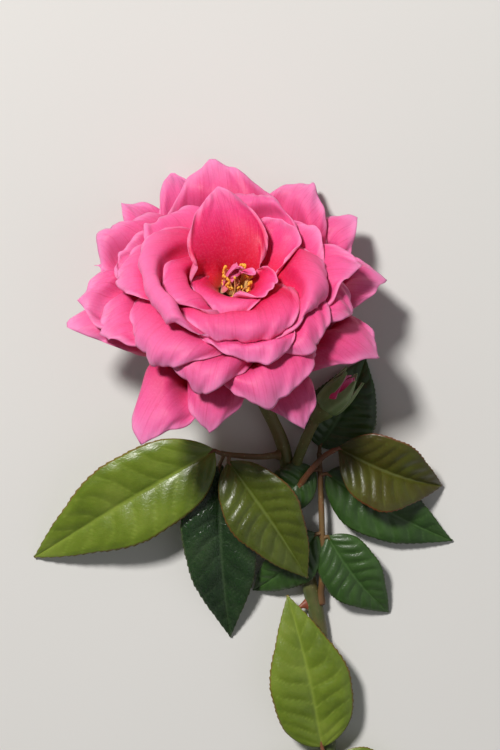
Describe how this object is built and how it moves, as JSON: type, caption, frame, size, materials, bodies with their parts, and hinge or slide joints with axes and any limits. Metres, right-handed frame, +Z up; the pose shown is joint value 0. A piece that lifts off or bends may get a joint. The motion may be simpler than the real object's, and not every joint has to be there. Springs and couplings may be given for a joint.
{
  "type": "cut garden rose",
  "caption": "Full double pink garden rose picked with its leafy stem and a side bud, lying on a surface on its outer petals, leaves and stem.",
  "frame": {"origin": "middle of the bounding box's floor, on the surface the rose lies on", "axes": "+Y from the cut end of the stem towards the bloom, +X to the right with the bloom away from the viewer, +Z up from the surface"},
  "size_m": [0.1478, 0.232, 0.0645],
  "materials": {
    "petal": "soft satin, hot pink with paler rims",
    "bud_petal": "soft satin, deep pink",
    "style": "matte, straw",
    "stamen": "matte, pollen yellow",
    "green_stalk": "smooth waxy",
    "stem": "smooth waxy bark",
    "leaf_stalk": "smooth waxy, reddish",
    "dark_leaf": "glossy dark green",
    "young_leaf": "glossy yellow-green"
  },
  "bodies": {
    "root": {"bud_petals": "bud_petal", "bud_stalk_with_sepals": "green_stalk", "leaf_bract_blade": "young_leaf", "leaf_bract_stalk": "leaf_stalk", "leaf_foot_left": "young_leaf", "leaf_foot_middle": "young_leaf", "leaf_foot_right": "young_leaf", "leaf_foot_stalk": "leaf_stalk", "leaf_left_big": "young_leaf", "leaf_left_low": "dark_leaf", "leaf_left_right": "young_leaf", "leaf_left_stalk": "leaf_stalk", "leaf_right_high_left": "dark_leaf", "leaf_right_high_right": "dark_leaf", "leaf_right_low_left": "dark_leaf", "leaf_right_low_right": "dark_leaf", "leaf_right_stalk": "leaf_stalk", "leaf_right_tip": "dark_leaf", "pedicel_with_hip_and_sepals": "green_stalk", "petal_back_corner": "petal", "petal_back_left": "petal", "petal_back_point": "petal", "petal_back_right": "petal", "petal_back_top": "petal", "petal_cup_outer": "petal", "petal_cup_small": "petal", "petal_front_left": "petal", "petal_front_low": "petal", "petal_front_mid": "petal", "petal_front_right": "petal", "petal_front_roll": "petal", "petal_inner_back": "petal", "petal_inner_front": "petal", "petal_inner_left": "petal", "petal_inner_right": "petal", "petal_left_big": "petal", "petal_left_fold": "petal", "petal_left_low": "petal", "petal_left_notch": "petal", "petal_left_round": "petal", "petal_left_side": "petal", "petal_left_wide": "petal", "petal_outer_dark": "petal", "petal_outer_front": "petal", "petal_outer_hook": "petal", "petal_outer_left": "petal", "petal_outer_low": "petal", "petal_outer_right": "petal", "petal_petaloid_left": "petal", "petal_petaloid_right": "petal", "petal_right_big": "petal", "petal_right_corner": "petal", "petal_right_low": "petal", "petal_right_mid": "petal", "petal_right_point": "petal", "petal_right_small": "petal", "stamens": "stamen", "stem": "stem", "styles": "style"}
  },
  "joints": []
}
